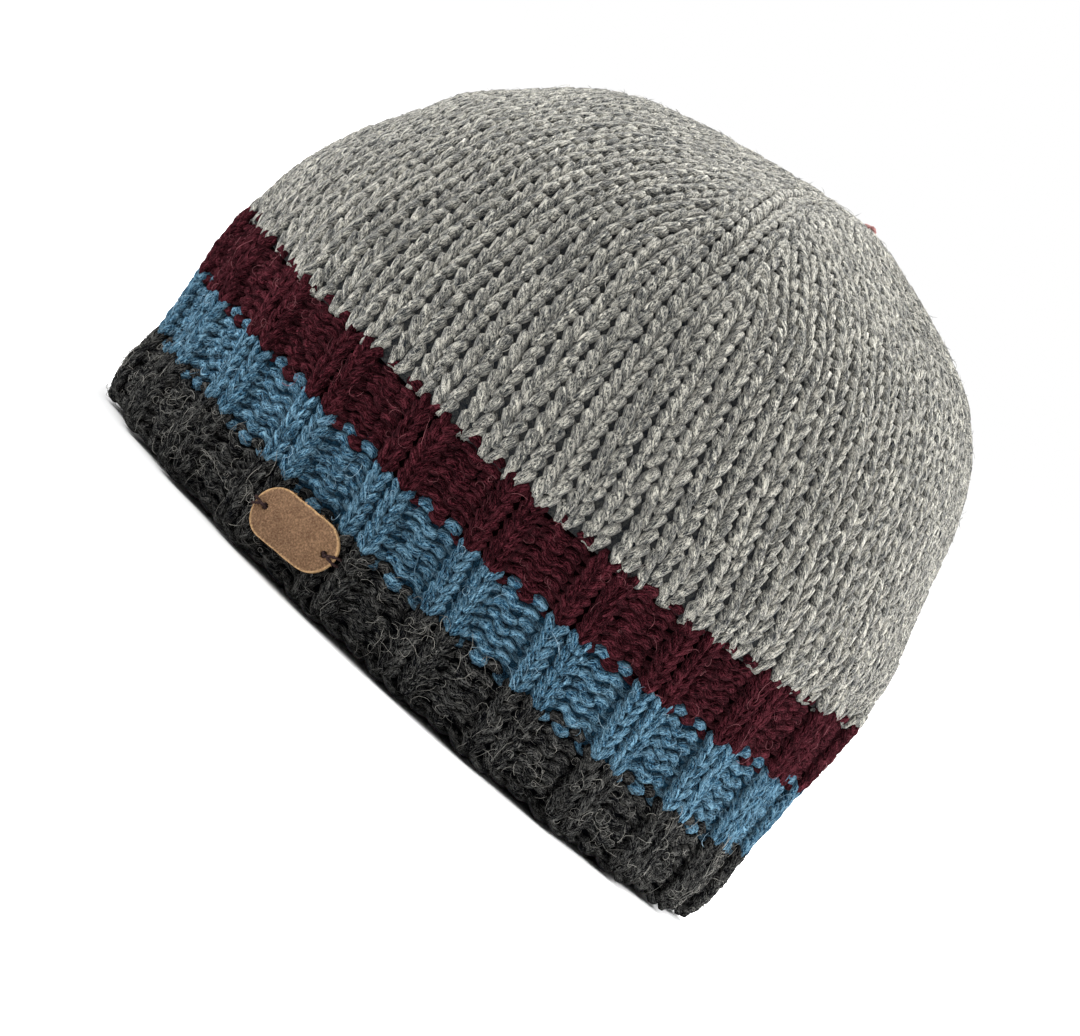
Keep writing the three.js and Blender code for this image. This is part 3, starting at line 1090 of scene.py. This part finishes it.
# Cords of several plies: the label's threads and the yarn end at the pole
thread = {
    "routes": [  # across, up and out on the label, from below the hole to below the wool at the end
        [
            (8.6, 0.3, -0.6), (8.8, 0.25, 0.9), (9.3, 0.1, 1.75), (10.6, -0.15, 1.75),
            (11.9, -0.35, 1.55), (12.6, -0.4, 0.6), (12.8, -0.4, -1.2),
        ],
        [
            (9.3, -0.35, -0.6), (9.3, -0.3, 0.9), (9.6, -0.1, 1.8), (10.7, 0.5, 1.8),
            (11.7, 1.0, 1.55), (12.3, 1.2, 0.5), (12.5, 1.2, -1.2),
        ],
    ],
    "points": 60,
    "plies": 2,
    "plyRadius": 0.21,
    "offset": 0.18,  # from the cord's middle to a ply's
    "pitch": 1.5,  # along the cord, for one turn of a ply
    "fibres": [(0.009, 0.005, 0.005), (0.024, 0.014, 0.014), (0.055, 0.036, 0.034)],
    "stray": (0.16, 0.115, 0.095),
    "loose": (0.0, 0.3, 0.65, 1.0),
    "seed": 7,
}
tie = {
    "route": [  # along and up, over the pole
        (-3.0, -3.2), (-2.2, -2.3), (-1.2, -1.1), (0, -0.45), (1.2, -1.1), (2.2, -2.3), (3.0, -3.2),
    ],
    "turn": math.radians(20),
    "lift": 0.35,
    "points": 40,
    "plies": 3,
    "plyRadius": 0.52,
    "offset": 0.5,
    "pitch": 5.5,
    "fibres": [(0.08, 0.03, 0.03), (0.2, 0.09, 0.085), (0.36, 0.2, 0.19)],
    "stray": (0.6, 0.45, 0.42),
    "loose": (0.0, 0.3, 0.65, 1.0),
    "seed": 9,
}
plyLook = {"sides": 7, "uneven": 0.06, "tone": (0.1, 0.6)}


def smoothRoute(route, count):
    length, curve = smoothOutline(route, 30)
    return np.stack([np.interp(np.linspace(0, length[-1], count), length, c) for c in curve.T], axis=1)


def pliedCord(name, centre, cord, seed):
    plies = cord["plies"]
    along = unit(np.gradient(centre, axis=0))
    side = unit(np.cross(along, [0.3, 0.5, 0.81]))  # any direction that no cord runs in
    up = np.cross(side, along)
    length = np.concatenate([[0], np.cumsum(np.linalg.norm(np.diff(centre, axis=0), axis=1))])
    rng = np.random.default_rng(seed)
    lines = []
    for ply in range(plies):
        around = turn * (length / cord["pitch"] + ply / plies)
        outward = np.cos(around)[:, None] * side + np.sin(around)[:, None] * up
        lines.append(centre + cord["offset"] * outward)
    radii = cord["plyRadius"] * (1 + plyLook["uneven"] * rng.normal(size=(plies, len(centre) - 1)))
    verts, faces, _ = strands(np.array(lines), radii, plyLook["sides"])
    piece = meshPiece(name, verts, faces)
    attribute(piece, "tone", rng.uniform(*plyLook["tone"], len(verts)))
    return piece


threadMaterial = fuzzMaterial("brownThread", thread)
for side, name in ((-1, "left"), (1, "right")):
    for number, route in enumerate(thread["routes"]):
        centre = labelPlace(smoothRoute(route, thread["points"]) * [side, side, 1])
        cord = pliedCord(f"{name}Thread{number + 1}", centre, thread, thread["seed"] + number)
        dress(cord, threadMaterial, "brown_thread", "thread_" + name)

pole = wallPoint(np.array(0.0), np.array(wallLength))
tieAlong = np.array([math.cos(tie["turn"]), math.sin(tie["turn"]), 0])
tiePoints = [pole + along * tieAlong + [0, 0, tie["lift"] + up] for along, up in tie["route"]]
tieCord = pliedCord("poleYarnEnd", smoothRoute(tiePoints, tie["points"]), tie, tie["seed"])
dress(tieCord, fuzzMaterial("tieWool", tie), "maroon_wool", "crown_tie")
print("label, threads and yarn end made")

# Floor, light and camera
studio = {
    "floorSize": 60,  # metres, so that its edge is out of sight
    "worldLight": 1.0,
    "lightAim": (0, 0, 0.07),
    "softboxes": {  # place, side of the square in metres, watts
        "topLight": ((0.3, 0.75, 1.85), 1.0, 84),
        "rightLight": ((1.9, 0.3, 0.85), 0.9, 53),
        "leftLight": ((-1.8, 0.1, 0.9), 0.9, 38),
    },
}
bpy.ops.object.select_all(action="DESELECT")
bpy.ops.mesh.primitive_plane_add(size=studio["floorSize"], location=(0, 0, 0))
floor = bpy.context.object
floor.name = "floor"
floorLook = {"Base Color": (1, 1, 1, 1), "Roughness": 1.0, "Specular IOR Level": 0.0}
floor.data.materials.append(Sheet("paleFloor").finish(floorLook))

scene = bpy.context.scene
world = bpy.data.worlds.new("studio")
world.use_nodes = True
world.node_tree.nodes["Background"].inputs[0].default_value = (1, 1, 1, 1)
world.node_tree.nodes["Background"].inputs[1].default_value = studio["worldLight"]
scene.world = world
scene.view_settings.view_transform = "Standard"

for name, (place, size, power) in studio["softboxes"].items():
    bpy.ops.object.light_add(type="AREA", location=place)
    lamp = bpy.context.object
    lamp.name = name
    lamp.data.size = size
    lamp.data.energy = power
    x, y, z = np.array(studio["lightAim"]) - np.array(place)
    lamp.rotation_euler = (math.atan2(math.hypot(x, y), -z), 0, math.atan2(y, x) - math.pi / 2)

view = {
    "perPixel": 0.2334,  # millimetres on the hat for each pixel of the 1080 x 1036 frame
    "frameWidth": 1080,
    "elevation": math.radians(3.5),
    "roll": math.radians(42.5),
    "aim": (4.8, 0, 46.5),
    "away": 1800,
    "sensor": 36,
    "clipEnd": 20,  # metres
}
bpy.ops.object.camera_add()
camera = bpy.context.object
camera.name = "photoCamera"
camera.data.sensor_width = view["sensor"]
camera.data.lens = view["sensor"] * view["away"] / (view["perPixel"] * view["frameWidth"])
camera.data.clip_end = view["clipEnd"]
lift = view["elevation"]
backward = np.array([0, -math.cos(lift), math.sin(lift)])
camera.location = (np.array(view["aim"]) + view["away"] * backward) * mm
facing = Matrix.Rotation(math.pi / 2 - lift, 4, "X") @ Matrix.Rotation(view["roll"], 4, "Z")
camera.rotation_euler = facing.to_euler()
scene.camera = camera
